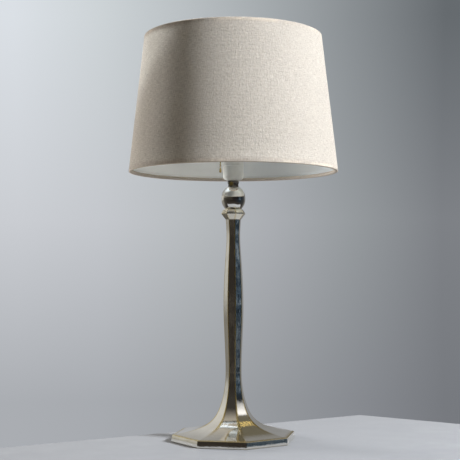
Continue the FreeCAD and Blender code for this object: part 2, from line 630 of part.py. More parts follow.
make_foot()
make_stem()
make_collar()
make_ball()
make_neck()
make_ballast()
make_bottom()
make_rod()
make_cord_bush()
make_holder_cap()
make_lock_screw()
make_holder_body()
make_block()
make_screw_shell()
make_clamp_ring()
make_nozzle()
make_chain()
make_switch()
make_bulb()
make_cover()
make_frame()
make_struts()
check_and_write()
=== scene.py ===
import json
import math

import bpy
import numpy as np
from mathutils import Matrix, Vector


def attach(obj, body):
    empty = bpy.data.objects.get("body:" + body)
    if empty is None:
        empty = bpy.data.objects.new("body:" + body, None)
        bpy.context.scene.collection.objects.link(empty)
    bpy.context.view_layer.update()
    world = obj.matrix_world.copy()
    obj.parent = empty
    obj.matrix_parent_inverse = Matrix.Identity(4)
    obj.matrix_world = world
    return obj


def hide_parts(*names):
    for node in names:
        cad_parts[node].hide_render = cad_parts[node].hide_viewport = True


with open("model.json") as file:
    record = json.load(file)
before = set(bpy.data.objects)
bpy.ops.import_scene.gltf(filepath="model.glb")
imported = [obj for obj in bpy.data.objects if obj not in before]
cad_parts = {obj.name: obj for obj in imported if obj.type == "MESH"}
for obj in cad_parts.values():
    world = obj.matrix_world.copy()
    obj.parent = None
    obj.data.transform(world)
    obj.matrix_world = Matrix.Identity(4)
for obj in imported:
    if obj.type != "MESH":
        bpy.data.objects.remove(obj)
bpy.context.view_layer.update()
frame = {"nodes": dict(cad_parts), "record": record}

scene = bpy.context.scene
scene.view_settings.view_transform = "Standard"
MM = 0.001

# ---- camera -----------------------------------------------------------------------------------------

CAMERA_TURN = math.radians(11.447)  # how far round the lamp the camera stands from straight in front
CAMERA_TILT, CAMERA_ROLL = 2.351, -0.00154  # degrees up from level, and radians about its own axis

camera = bpy.data.objects.new("camera", bpy.data.cameras.new("camera"))
scene.collection.objects.link(camera)
scene.camera = camera
camera.data.sensor_width = 36.0
camera.data.sensor_fit = "HORIZONTAL"
camera.data.lens = 83.345
camera.data.clip_end = 60.0
camera.location = (0.3477, -1.7456, 0.27565)
camera.rotation_mode = "XYZ"
aim = Matrix.Rotation(CAMERA_TURN, 3, "Z") @ Matrix.Rotation(math.radians(90 + CAMERA_TILT), 3, "X")
camera.rotation_euler = (aim @ Matrix.Rotation(CAMERA_ROLL, 3, "Z")).to_euler("XYZ")

# ---- materials --------------------------------------------------------------------------------------

class Paint:
    """The nodes of a material or a world: add() makes a node, whose inputs are numbers or other nodes' outputs."""

    def __init__(self, owner):
        owner.use_nodes = True
        self.owner = owner
        self.tree = owner.node_tree
        self.surface = self.tree.nodes.get("Principled BSDF")

    def add(self, kind, inputs=(), out=0, **settings):
        node = self.tree.nodes.new("ShaderNode" + kind)
        for name, value in settings.items():
            setattr(node, name, value)
        self.feed(node, dict(inputs))
        return node.outputs[out]

    def feed(self, node, inputs):
        for name, value in inputs.items():
            socket = node.inputs[name]
            if isinstance(value, bpy.types.NodeSocket):
                self.tree.links.new(value, socket)
            elif socket.type == "RGBA":
                socket.default_value = (*value[:3], 1.0)
            else:
                socket.default_value = value

    def set(self, **inputs):
        self.feed(self.surface, {name.replace("_", " "): value for name, value in inputs.items()})

    def place(self, scale=(1, 1, 1), kind="Object"):
        coords = self.tree.nodes.new("ShaderNodeTexCoord").outputs[kind]
        return self.add("Mapping", {"Vector": coords, "Scale": scale})

    def noise(self, scale, detail=3.0, roughness=0.5, stretch=(1, 1, 1), kind="Object"):
        return self.add("TexNoise", {"Vector": self.place(stretch, kind), "Scale": scale, "Detail": detail,
                                     "Roughness": roughness})

    def ramp(self, factor, *stops):
        """Colours, or greys, at positions along the factor."""
        out = self.add("ValToRGB", {"Fac": factor})
        band = out.node.color_ramp
        while len(band.elements) < len(stops):
            band.elements.new(1.0)
        for element, (position, colour) in zip(band.elements, stops):
            element.position = position
            element.color = (*([colour] * 3 if isinstance(colour, float) else colour), 1.0)
        return out

    def range(self, value, low, high, to_low=0.0, to_high=1.0):
        return self.add("MapRange", {"Value": value, "From Min": low, "From Max": high, "To Min": to_low,
                                     "To Max": to_high})

    def mix(self, factor, first, second):
        node = self.tree.nodes.new("ShaderNodeMix")
        node.data_type = "RGBA"
        for number, value in ((0, factor), (6, first), (7, second)):
            if isinstance(value, bpy.types.NodeSocket):
                self.tree.links.new(value, node.inputs[number])
            else:
                node.inputs[number].default_value = value if number == 0 else (*value[:3], 1.0)
        return node.outputs[2]

    def math(self, operation, first, second=0.0):
        return self.add("Math", {0: first, 1: second}, operation=operation)

    def bump(self, height, distance, after=None):
        inputs = {"Height": height, "Distance": distance, "Strength": 1.0}
        if after is not None:
            inputs["Normal"] = after
        return self.add("Bump", inputs)


def speckled(name, colour, other, roughness, scale, metallic=0.0, depth=0.00002, **rest):
    """A plain finish with a little cloud in its colour, gloss and surface."""
    paint = Paint(bpy.data.materials.new(name))
    cloud = paint.noise(scale)
    paint.set(Base_Color=paint.mix(paint.range(cloud, 0.35, 0.65), colour, other),
              Roughness=paint.range(cloud, 0.3, 0.7, roughness * 0.85, roughness * 1.15), Metallic=metallic,
              Normal=paint.bump(cloud, depth), **rest)
    return paint.owner


def silver_plate():
    """Warm polished plate, worn to yellow brass on its arrises and edges, and dark brown where its second mark
    paints shade.
    """
    paint = Paint(bpy.data.materials.new("silver_plate"))
    wear, painted_shade = (paint.add("Attribute", attribute_type="GEOMETRY", attribute_name=mark, out=2)
                  for mark in ("wear", "painted_shade"))
    patches = paint.noise(160.0, detail=4.0, roughness=0.6)
    rubbed = paint.math("MULTIPLY", wear, paint.range(patches, 0.3, 0.6, 0.6, 1.0))
    haze = paint.noise(45.0, detail=5.0, roughness=0.55)
    plate = paint.mix(paint.range(haze, 0.35, 0.7), (0.89, 0.865, 0.805), (0.82, 0.79, 0.72))
    # painted shade: where its mark is set the plate turns dark brown, at the ball's foot by the collar and over the
    # neck
    plate = paint.mix(painted_shade, plate, (0.13, 0.115, 0.10))
    blurred = paint.math("ADD", paint.math("MULTIPLY", painted_shade, 0.2), paint.math("MULTIPLY", rubbed, 0.38))
    scratches = paint.noise(900.0, detail=2.0, stretch=(1, 1, 0.08))
    dents = paint.noise(210.0, detail=3.0, stretch=(1, 1, 0.5))
    swells = paint.noise(38.0, detail=1.5)
    relief = paint.bump(dents, 0.00011, after=paint.bump(swells, 0.00022))
    paint.set(Base_Color=paint.mix(rubbed, plate, (0.60, 0.455, 0.135)), Metallic=1.0,
              Roughness=paint.math("ADD", paint.range(haze, 0.3, 0.75, 0.03, 0.085), blurred),
              Normal=paint.bump(scratches, 0.000004, after=relief))
    return paint.owner


WAVE_RADIANS = 20  # a wave texture turns through this much in each unit of its scale


def woven(name, light, dark, thread, depth, roughness=0.85, through=0.0, glow=()):
    """Plain-weave cloth in metres along the cloth: threads both ways, slubs and a slow unevenness.

    The share of the light that through gives shines through it, in a colour between the two of glow, by the thread.
    """
    paint = Paint(bpy.data.materials.new(name))

    def waves(direction, distortion):
        return paint.add("TexWave", {"Vector": paint.place(kind="UV"), "Scale": 1.0 / (thread * WAVE_RADIANS),
                                     "Distortion": distortion, "Detail": 1.0, "Detail Scale": 1.5},
                         out=1, bands_direction=direction)

    across, along = waves("X", 1.2), waves("Y", 0.6)
    warp, weft = (paint.noise(980.0, detail=4.0, roughness=0.65, stretch=stretch, kind="UV")
                  for stretch in ((1, 0.16, 1), (0.13, 1, 1)))
    slubs = paint.math("ADD", paint.range(warp, 0.35, 0.65), paint.range(weft, 0.35, 0.65))
    weave = paint.math("ADD", paint.math("MULTIPLY", paint.math("MULTIPLY", across, along), 0.35),
                       paint.math("MULTIPLY", slubs, 0.8))
    tone = paint.math("ADD", paint.math("MULTIPLY", slubs, 0.42), paint.math("MULTIPLY", weave, 0.06))
    slow = paint.noise(22.0, detail=2.0, kind="UV")
    paint.set(Base_Color=paint.mix(tone, dark, light), Roughness=roughness, Specular_IOR_Level=0.2,
              Normal=paint.bump(weave, depth, after=paint.bump(slow, 0.0006)))
    if through:
        thin = paint.math("ADD", paint.noise(1250.0, detail=3.0, roughness=0.6, stretch=(1, 0.11, 1.7), kind="UV"),
                          paint.noise(1150.0, detail=3.0, roughness=0.6, stretch=(0.09, 1, 0.6), kind="UV"))
        shine = paint.add("BsdfTranslucent", {"Color": paint.mix(paint.range(thin, 0.80, 1.20), *glow)})
        both = paint.add("MixShader", {0: through, 1: paint.surface.outputs[0], 2: shine})
        paint.tree.links.new(both, paint.tree.nodes["Material Output"].inputs["Surface"])
    return paint.owner


def clear_glass():
    """Thin glass with a faint frost on its inside."""
    paint = Paint(bpy.data.materials.new("bulb_glass"))
    frost = paint.noise(240.0)
    paint.set(Base_Color=(0.96, 0.97, 0.97), Transmission_Weight=1.0, IOR=1.05,
              Roughness=paint.range(frost, 0.3, 0.7, 0.16, 0.26))
    return paint.owner


FINISH = {
    "silver_plate": silver_plate(),
    "linen": woven("linen", (0.80, 0.75, 0.69), (0.63, 0.58, 0.515), 0.0009, 0.00065, through=0.66,
                   glow=((0.51, 0.475, 0.42), (0.98, 0.945, 0.875))),
    "hem_tape": woven("hem_tape", (0.70, 0.625, 0.54), (0.51, 0.45, 0.38), 0.0009, 0.00012),
    "lining": woven("lining", (0.81, 0.91, 1.0), (0.76, 0.86, 0.97), 0.0006, 0.00003, roughness=0.6, through=0.76,
                    glow=((0.85, 0.87, 0.89), (0.85, 0.87, 0.89))),
    "ivory_plastic": speckled("ivory_plastic", (0.80, 0.81, 0.76), (0.74, 0.75, 0.70), 0.32, 120.0),
    "brass": speckled("brass", (0.72, 0.55, 0.24), (0.60, 0.44, 0.17), 0.28, 400.0, metallic=1.0),
    "steel": speckled("steel", (0.60, 0.60, 0.61), (0.50, 0.50, 0.52), 0.35, 500.0, metallic=1.0),
    "filler": speckled("filler", (0.12, 0.10, 0.08), (0.07, 0.06, 0.05), 0.75, 220.0, depth=0.0002),
    "felt": speckled("felt", (0.035, 0.05, 0.04), (0.02, 0.03, 0.025), 0.95, 900.0, depth=0.0003,
                     Sheen_Weight=0.4, Sheen_Roughness=0.4),
    "ceramic": speckled("ceramic", (0.80, 0.79, 0.75), (0.74, 0.73, 0.69), 0.3, 150.0),
    "black_plastic": speckled("black_plastic", (0.03, 0.03, 0.03), (0.02, 0.02, 0.02), 0.4, 300.0),
    "bulb_glass": clear_glass(),
    "nickel": speckled("nickel", (0.72, 0.70, 0.66), (0.64, 0.62, 0.58), 0.25, 400.0, metallic=1.0),
    "glazing": speckled("glazing", (0.02, 0.02, 0.025), (0.035, 0.03, 0.03), 0.12, 200.0),
    "white_wire": speckled("white_wire", (0.82, 0.82, 0.81), (0.76, 0.76, 0.75), 0.4, 260.0),
}

# ---- shapes -----------------------------------------------------------------------------------------

FLATS = 8
ARRIS, ARC_STEPS = 0.9, 4  # the radius in mm that an arris is rounded to, and the steps round it
FLAT_AT = (0.015, 0.12, 0.32, 0.5, 0.68, 0.88, 0.985)  # extra points along a flat, dense by its arrises
BESIDE = 0.12   # mm from a sharp corner to the points beside it
SHARP = -0.8    # the cosine between a corner's sides, above which it is sharp
TINY = 1e-9     # the least length to divide by
ON_AXIS = 1e-6  # mm, a radius below which a ring is a single point


def mesh_object(name, points, faces, finish, body, nodes, normals=None, uv=None, marks=()):
    """A piece in metres that rides on a body and stands for solid nodes; marks are named numbers at its points."""
    mesh = bpy.data.meshes.new(name)
    mesh.from_pydata([tuple(point) for point in points], [], faces)
    mesh.validate()
    mesh.update()
    mesh.polygons.foreach_set("use_smooth", [True] * len(mesh.polygons))
    if normals is not None:
        mesh.normals_split_custom_set_from_vertices([tuple(normal) for normal in normals])
    if uv is not None:
        layer = mesh.uv_layers.new(name="cloth")
        layer.data.foreach_set("uv", [number for face in uv for corner in face for number in corner])
    for mark, values in dict(marks).items():
        mesh.attributes.new(mark, "FLOAT", "POINT").data.foreach_set("value", values)
    piece = bpy.data.objects.new(name, mesh)
    scene.collection.objects.link(piece)
    mesh.materials.append(FINISH[finish])
    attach(piece, body)
    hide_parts(*nodes)
    return piece


def spline(points, count):
    """Points evenly along a smooth curve through the points, by a natural cubic on chord length."""
    points = np.array(points, float)
    chord = np.concatenate([[0.0], np.cumsum(np.hypot(*np.diff(points, axis=0).T))])
    step = np.diff(chord)
    size = len(points)
    system, right = np.zeros((size, size)), np.zeros((size, 2))
    system[0, 0] = system[-1, -1] = 1.0
    for k in range(1, size - 1):
        system[k, k - 1:k + 2] = step[k - 1], 2 * (step[k - 1] + step[k]), step[k]
        right[k] = 6 * ((points[k + 1] - points[k]) / step[k] - (points[k] - points[k - 1]) / step[k - 1])
    bend = np.linalg.solve(system, right)
    at = np.linspace(0, chord[-1], count)
    k = np.clip(np.searchsorted(chord, at, side="right") - 1, 0, size - 2)
    before, after, gap = (chord[k + 1] - at)[:, None], (at - chord[k])[:, None], step[k][:, None]
    return (bend[k] * before ** 3 / (6 * gap) + bend[k + 1] * after ** 3 / (6 * gap)
            + (points[k] / gap - bend[k] * gap / 6) * before + (points[k + 1] / gap - bend[k + 1] * gap / 6) * after)


def rounded(outline, radius, steps=4):
    """An outline of (radius, height) points with its corners rounded; a third number is a corner's own radius."""
    result = []
    size = len(outline)
    for k, corner in enumerate(outline):
        here = np.array(corner[:2], float)
        own = corner[2] if len(corner) > 2 else radius
        if own == 0 or k in (0, size - 1):
            result.append(here)
            continue
        back = np.array(outline[k - 1][:2], float) - here
        on = np.array(outline[k + 1][:2], float) - here
        reach = min(own, 0.45 * np.linalg.norm(back), 0.45 * np.linalg.norm(on))
        start, end = here + back / np.linalg.norm(back) * reach, here + on / np.linalg.norm(on) * reach
        for t in np.linspace(0, 1, steps + 1):
            result.append((1 - t) ** 2 * start + 2 * t * (1 - t) * here + t ** 2 * end)
    return np.array(result)


def crisp(outline):
    """A closed outline with a point added just each side of every sharp corner, so that its sides shade flat."""
    result = []
    size = len(outline)
    for k in range(size):
        here = np.array(outline[k], float)
        back, on = np.array(outline[k - 1], float) - here, np.array(outline[(k + 1) % size], float) - here
        lengths = np.linalg.norm(back), np.linalg.norm(on)
        if np.dot(back, on) / (lengths[0] * lengths[1]) > SHARP:
            result += [here + back * min(BESIDE / lengths[0], 0.3), here, here + on * min(BESIDE / lengths[1], 0.3)]
        else:
            result.append(here)
    return np.array(result)


def section(radius, arris):
    """One level octagon with rounded arrises: positions, level normals and how near each point is to an arris."""
    apothem = radius * math.cos(math.pi / FLATS)
    arris = min(arris, 0.5 * apothem)
    points, normals, edge = [], [], []
    for k in range(FLATS):
        first = 2 * math.pi * k / FLATS
        corner = first + math.pi / FLATS
        centre = (apothem - arris) / math.cos(math.pi / FLATS) * np.array((math.cos(corner), math.sin(corner)))
        for step in range(ARC_STEPS + 1):
            turn = first + 2 * math.pi / FLATS * step / ARC_STEPS
            normal = np.array((math.cos(turn), math.sin(turn)))
            points.append(centre + arris * normal)
            normals.append(normal)
            edge.append(1.0)
        turn = first + 2 * math.pi / FLATS
        normal = np.array((math.cos(turn), math.sin(turn)))
        along = np.array((-normal[1], normal[0]))
        half = (apothem - arris) * math.tan(math.pi / FLATS)
        for share in FLAT_AT:
            points.append(apothem * normal + along * half * (2 * share - 1))
            normals.append(normal)
            edge.append(1.0 if share in (FLAT_AT[0], FLAT_AT[-1]) else 0.0)
    return np.array(points), np.array(normals), np.array(edge)


def loop_slopes(outline):
    """The way the outline runs at each of its points, closed on itself, with corners kept as they are drawn."""
    ahead = np.roll(outline, -1, axis=0) - outline
    behind = outline - np.roll(outline, 1, axis=0)
    ahead /= np.maximum(np.linalg.norm(ahead, axis=1), TINY)[:, None]
    behind /= np.maximum(np.linalg.norm(behind, axis=1), TINY)[:, None]
    way = ahead + behind
    return way / np.maximum(np.linalg.norm(way, axis=1), TINY)[:, None]


def octagonal(name, outline, node, edges=(), rub=1.0, stained=0.0, fade=(0.0, 0.1)):
    """A closed ring of octagonal section round the axis, from a closed (circumradius, height) outline in mm.

    The outline runs up the outside and down the inside. Each height in edges is worn all round, as far as its reach.
    The arrises are less worn as they fall through the heights in fade. Nothing outside is less worn than stained.
    """
    outline = crisp(outline)
    way = loop_slopes(outline)
    points, normals, wear = [], [], []
    for (radius, height), (out, up) in zip(outline, way):
        level, facing, near = section(radius, ARRIS)
        lean = np.array((up, -out * math.cos(math.pi / FLATS)))
        lean /= max(np.linalg.norm(lean), TINY)
        points += [(x * MM, y * MM, height * MM) for x, y in level]
        normals += [(x * lean[0], y * lean[0], lean[1]) for x, y in facing]
        rubbed = max([0.0] + [1.0 - abs(height - at) / reach for at, reach in edges])
        worn = min(max((height - fade[0]) / (fade[1] - fade[0]), 0.0), 1.0)
        wear += [max(rub * max(value * worn, rubbed), stained) if up > -0.5 else 0.0 for value in near]
    around, rings = FLATS * (ARC_STEPS + 1 + len(FLAT_AT)), len(outline)
    faces = [(ring * around + k, ring * around + (k + 1) % around,
              (ring + 1) % rings * around + (k + 1) % around, (ring + 1) % rings * around + k)
             for ring in range(rings) for k in range(around)]
    return mesh_object(name, points, faces, "silver_plate", "stand", [node], normals=normals, marks={"wear": wear})


def lathe(name, outline, finish, nodes, body="stand", around=96, ripple=None, marks=()):
    """A closed turned form from a (radius, height) outline in mm, up the outside and down the inside.

    Both ripple, which moves a point out, and the rules in marks go by a point's turn, radius and height.
    """
    points, faces, rows = [], [], []
    for radius, height in outline:
        if radius < ON_AXIS:
            rows.append([len(points)])
            points.append((0.0, 0.0, height * MM))
            continue
        rows.append(list(range(len(points), len(points) + around)))
        for k in range(around):
            turn = 2 * math.pi * k / around
            at = radius + (ripple(turn, radius, height) if ripple else 0.0)
            points.append((at * math.cos(turn) * MM, at * math.sin(turn) * MM, height * MM))
    for low, high in zip(rows, rows[1:] + rows[:1]):
        for k in range(around):
            following = (k + 1) % around
            if len(low) == 1 and len(high) == 1:
                break
            if len(low) == 1:
                faces.append((low[0], high[following], high[k]))
            elif len(high) == 1:
                faces.append((low[k], low[following], high[0]))
            else:
                faces.append((low[k], low[following], high[following], high[k]))
    marked = {mark: [rule(math.atan2(y, x), math.hypot(x, y) / MM, z / MM) for x, y, z in points]
              for mark, rule in dict(marks).items()}
    return mesh_object(name, points, faces, finish, body, nodes, marks=marked)


# ---- silver stick -----------------------------------------------------------------------------------

# heights in mm, and (circumradius, height) points of the octagons
FOOT_LOW, BAND_TOP, FOOT_TOP, STEM_TOP, COLLAR_TOP, BALL_TOP = 0.6, 11.7, 112.0, 366.0, 383.0, 420.0
BAND = [(104.6, FOOT_LOW), (103.2, BAND_TOP)]
WAIST = (13.5, FOOT_TOP)  # the narrowest place, where the foot's shell meets the stem's
RISE = [(82.0, 15.0), (64.0, 19.4), (49.0, 25.2), (37.5, 33.0), (29.0, 43.0), (22.4, 57.5), (17.1, 76.0), WAIST,
        (14.1, 142.0), (15.5, 176.0), (16.7, 208.0), (16.6, 240.0), (15.2, 276.0), (13.1, 308.0), (11.5, 338.0),
        (13.0, STEM_TOP)]
BORE, WELL_TOP = 7.6, 54.0
FOOT_HOLLOW = [(20.0, WELL_TOP), (26.6, 40.6), (35.1, 30.6), (46.6, 22.8), (61.6, 17.0), (79.6, 12.6),
               (100.8, 9.3), (100.8, FOOT_LOW)]
BAND_SHOULDER = 3  # the band's top corner is rounded into the rise as far as this point of it

rise = spline([BAND[1]] + RISE, 220)
split = int(np.argmin(abs(rise[:, 1] - FOOT_TOP)))
rise[split] = WAIST
band = rounded([(101.5, FOOT_LOW), BAND[0], BAND[1], tuple(rise[BAND_SHOULDER])], 0.9)
band = np.concatenate([band[:-1], rise[BAND_SHOULDER:split + 1]])
hollow = rounded([(BORE, FOOT_TOP), (BORE, WELL_TOP)] + FOOT_HOLLOW, 0.6, steps=2)
octagonal("foot_silver", np.concatenate([band, hollow]), "foot", edges=[(BAND_TOP, 1.1), (FOOT_LOW, 0.8)],
          fade=(14.0, 27.0))
octagonal("stem_silver", np.concatenate([rise[split:], [(BORE, STEM_TOP), (BORE, FOOT_TOP)]]), "stem")

collar = rounded([(6.0, STEM_TOP), (13.0, STEM_TOP, 0.3), (14.2, 367.6, 1.2), (20.3, 375.4, 0.6),
                  (20.3, 377.2, 0.6), (16.4, COLLAR_TOP, 0.5), (6.0, COLLAR_TOP, 0.2)], 0.4)
octagonal("collar_silver", collar, "collar", edges=[(376.3, 1.2)], rub=0.6, stained=0.22)

BALL_RADIUS, BALL_HALF, BALL_CENTRE = 20.3, 22.6, 400.8  # a ball a little taller than wide
ROD_BORE = 5.4
tilts = [math.asin((height - BALL_CENTRE) / BALL_HALF) for height in (COLLAR_TOP, BALL_TOP)]
ball = [(BALL_RADIUS * math.sqrt(1 - ((height - BALL_CENTRE) / BALL_HALF) ** 2), height)
        for height in BALL_CENTRE + BALL_HALF * np.sin(np.linspace(*tilts, 60))]
# painted shade in the crevice at the ball's foot, where it meets the collar
lathe("ball_silver", ball + [(ROD_BORE, BALL_TOP), (ROD_BORE, COLLAR_TOP)], "silver_plate", ["ball_knop"],
      marks={"painted_shade": lambda turn, radius, height: max(0.0, 1.0 - abs(height - COLLAR_TOP) / 1.2)})
neck = rounded([(ROD_BORE, BALL_TOP), (9.0, BALL_TOP, 0.2), (8.7, 421.0, 0.8), (8.6, 425.8, 0.8), (9.0, 426.5, 0.4),
                (9.5, 426.8, 0.4), (9.5, 429.0, 0.4), (9.0, 429.3, 0.4), (9.0, 431.2), (ROD_BORE, 431.2)], 0.3)


def neck_brass_spot(turn, radius, height):
    """A brass-coloured spot at the front of the neck, carried in the wear mark."""
    off = (turn - math.radians(-103.0) + math.pi) % (2 * math.pi) - math.pi
    return min(1.0, 1.5 * math.exp(-(off / 0.34) ** 2 - ((height - 426.0) / 2.2) ** 2))


# painted shade darkens nearly all of the neck, standing in for its dark reflections
lathe("neck_silver", neck, "silver_plate", ["neck"],
      marks={"wear": neck_brass_spot, "painted_shade": lambda turn, radius, height: 0.94})

# ---- lampholder -------------------------------------------------------------------------------------

cap = rounded([(5.1, 431.3), (10.0, 431.3, 1.0), (14.6, 433.0, 3.5), (17.0, 437.0, 3.5), (17.2, 441.0, 2.0),
               (17.2, 455.4, 0.2), (16.8, 455.7, 0.2), (16.8, 456.5, 0.2), (17.2, 456.8, 0.2), (17.2, 466.0, 0.4),
               (15.4, 466.0), (15.4, 440.0, 4.0), (10.0, 433.1, 2.0), (8.0, 433.1), (8.0, 444.0), (5.1, 444.0)],
              0.3, steps=6)
lathe("holder_cap_moulded", cap, "ivory_plastic", ["holder_cap"])

MOULDED_PITCH, MOULDED_DEPTH = 2.5, 0.35
THREAD_LOW, THREAD_HIGH = 483.5, 498.5
RIM_RADIUS, FLUTES = 27.5, 36  # of the clamp ring's grip


def holder_thread(turn, radius, height):
    """A moulded thread cut into the upper skirt."""
    if radius > 18.5 and THREAD_LOW < height < THREAD_HIGH:
        return -MOULDED_DEPTH * (0.5 + 0.5 * math.cos(2 * math.pi * height / MOULDED_PITCH - turn))
    return 0.0


def up(radius, low, high, step):
    """Points straight up a wall."""
    return [(radius, height) for height in np.arange(low, high, step)]


skirt = rounded([(16.4, 466.0), (19.0, 466.0, 0.5), (19.0, 480.0, 0.4), (26.5, 480.0, 0.5), (26.5, 482.0, 0.5),
                 (19.0, 482.0, 0.3), (19.0, 483.0)], 0.3).tolist()
skirt += up(19.0, 483.3, 499.0, 0.25)
skirt += rounded([(19.0, 499.2), (19.0, 500.0, 0.5), (15.1, 500.0, 0.4), (15.1, 476.5), (16.4, 476.5)],
                 0.3).tolist()
lathe("holder_skirt_moulded", skirt, "ivory_plastic", ["holder_body"], ripple=holder_thread)


def clamp_flutes(turn, radius, height):
    """The fluted grip of the clamp ring's rim."""
    return -MOULDED_DEPTH * (0.5 + 0.5 * math.cos(FLUTES * turn)) if radius > RIM_RADIUS - 0.5 else 0.0


ring = rounded([(19.1, 484.7), (RIM_RADIUS, 484.7, 0.5), (RIM_RADIUS, 486.6, 0.5), (21.8, 487.2, 0.5),
                (21.8, 491.5, 0.5), (19.1, 491.5)], 0.3)
lathe("clamp_ring_moulded", ring, "ivory_plastic", ["shade_clamp_ring"], around=8 * FLUTES, ripple=clamp_flutes)

ROLLED_PITCH, ROLLED_DEPTH = 3.62, 0.6
CAP_ROOT = 12.5  # mm, the radius at the root of the bulb cap's thread


def screw_thread(turn, radius, height):
    """The round thread of a lamp cap and its shell."""
    return ROLLED_DEPTH * (0.5 + 0.5 * math.cos(2 * math.pi * height / ROLLED_PITCH - turn))


def cap_thread(turn, radius, height):
    """The thread on the bulb's cap, between its smooth ends."""
    return screw_thread(turn, radius, height) if radius == CAP_ROOT else 0.0


lathe("screw_shell_rolled", up(13.9, 477.2, 497.5, 0.4) + up(13.55, 477.2, 497.5, 0.4)[::-1], "brass",
      ["screw_shell"], ripple=screw_thread)
bulb_cap = ([(9.0, 482.45), (11.6, 483.4), (12.4, 484.6)] + up(CAP_ROOT, 485.0, 499.0, 0.4)
            + [(12.9, 500.0), (13.1, 502.6), (12.6, 502.6)]
            + [(12.4, 500.0), (11.7, 499.0), (11.7, 485.0), (11.0, 484.0), (9.0, 482.9)])
lathe("bulb_cap_threaded", bulb_cap, "nickel", ["bulb_cap"], ripple=cap_thread)

GLOBE_RADIUS, GLOBE_CENTRE, GLASS = 30, 552, 0.8
throat = spline([(12.9, 502.8), (13.5, 509.0), (15.9, 518.0), (19.9, 527.0), (24.0, 534.0), (27.8, 540.8)], 18)
crown = [(GLOBE_RADIUS * math.cos(turn), GLOBE_CENTRE + GLOBE_RADIUS * math.sin(turn))
         for turn in np.linspace(-0.36, math.pi / 2, 24)]
outer = throat.tolist() + crown
inner = [(max(radius - GLASS, 0.0), height - (GLASS if height > GLOBE_CENTRE else 0.0)) for radius, height in outer]
lathe("bulb_glass_blown", outer + inner[:0:-1] + [(12.1, 502.8)], "bulb_glass", ["bulb_glass"], body="bulb")

# ---- shade ------------------------------------------------------------------------------------------

SHADE_LOW, SHADE_TOP = 445.2, 672.9
LOW_RADIUS, TOP_RADIUS, MEAN_RADIUS = 175.0, 149.3, 162.0
SLOPE = (LOW_RADIUS - TOP_RADIUS) / (SHADE_TOP - SHADE_LOW)
SEAM, SEAM_HALF = math.radians(90.0), 6.5
AROUND = 320  # points round the cloth


def skin(inset, height):
    """The radius at an inset from the shade's outside."""
    return LOW_RADIUS - inset - (height - SHADE_LOW) * SLOPE


def cone_cloth(name, outline, finish, node, lump=None):
    """A closed cone-shaped cloth from a closed (inset, height) outline, laid out in metres along the cloth."""
    points, faces, uv = [], [], []
    size = len(outline)
    run = np.concatenate([[0.0], np.cumsum([math.dist(outline[k], outline[(k + 1) % size]) for k in range(size)])])
    for inset, height in outline:
        for k in range(AROUND):
            turn = 2 * math.pi * k / AROUND
            radius = skin(inset, height) + (lump(turn, inset, height) if lump else 0.0)
            points.append((radius * math.cos(turn) * MM, radius * math.sin(turn) * MM, height * MM))
    width = 2 * math.pi * MEAN_RADIUS * MM / AROUND
    for row in range(size):
        below, above = row * AROUND, (row + 1) % size * AROUND
        low, high = run[row] * MM, run[row + 1] * MM
        for k in range(AROUND):
            on = (k + 1) % AROUND
            faces.append((below + k, below + on, above + on, above + k))
            uv.append(((k * width, low), ((k + 1) * width, low), ((k + 1) * width, high), (k * width, high)))
    return mesh_object(name, points, faces, finish, "shade", [node], uv=uv)


def seam_and_waves(turn, inset, height):
    """The glued lap of the cover at the back, and the slight unevenness of cloth on card."""
    if inset >= 0.9:
        return 0.0
    off = abs((turn - SEAM + math.pi) % (2 * math.pi) - math.pi) * MEAN_RADIUS
    lap = 0.16 * (1 - math.tanh((off - SEAM_HALF) * 1.1))
    waves = 0.10 * math.sin(5 * turn + height / 61) + 0.07 * math.sin(11 * turn - height / 38 + 1.3)
    return lap + waves


cover = [(0.36, 445.6)] + [(0.30, height) for height in np.linspace(446.0, 672.1, 64)]
cover += [(0.36, 672.5), (0.5, 672.5), (0.5, 667.0)]
cover += [(1.38, height) for height in np.linspace(666.8, 451.3, 60)] + [(0.5, 451.1), (0.5, 445.6)]
cloth = cone_cloth("shade_linen", cover, "linen", "shade_cover", lump=seam_and_waves)
lining_rows = np.linspace(446.0, 672.0, 24)
lining = [(1.42, height) for height in lining_rows] + [(2.15, height) for height in lining_rows[::-1]]
backing = cone_cloth("shade_lining_card", lining, "lining", "shade_lining")

# (inset, way in from the rim) round the folded tape: over the outside, round the rim's wire and back
TAPE = [(0.82, 5.2), (0.60, 5.0), (0.53, 4.6), (0.53, 1.3), (0.62, 0.5), (1.2, 0.0), (4.5, 0.0), (5.6, 0.5),
        (6.1, 1.6), (6.1, 3.6), (5.2, 4.9), (3.8, 5.5), (2.25, 5.8), (2.25, 5.45), (3.7, 5.15), (4.95, 4.6),
        (5.75, 3.5), (5.75, 1.7), (5.35, 0.8), (4.4, 0.35), (1.4, 0.35), (0.95, 0.75), (0.85, 1.5), (0.85, 4.6)]
hem_low = cone_cloth("bottom_hem_tape", [(inset, SHADE_LOW + way) for inset, way in TAPE[::-1]], "hem_tape",
                     "bottom_hem")
hem_high = cone_cloth("top_hem_tape", [(inset, SHADE_TOP - way) for inset, way in TAPE], "hem_tape", "top_hem")

# ---- solid nodes that stay, with their finishes -------------------------------------------------------

replaced = {"foot", "stem", "collar", "ball_knop", "neck", "holder_cap", "holder_body", "shade_clamp_ring",
            "screw_shell", "bulb_cap", "bulb_glass", "shade_cover", "shade_lining", "bottom_hem", "top_hem"}
for part in frame["record"]["subparts"]:
    if part["node"] not in replaced:
        for slot in frame["nodes"][part["node"]].material_slots:
            slot.material = FINISH[part["material_slot"]]
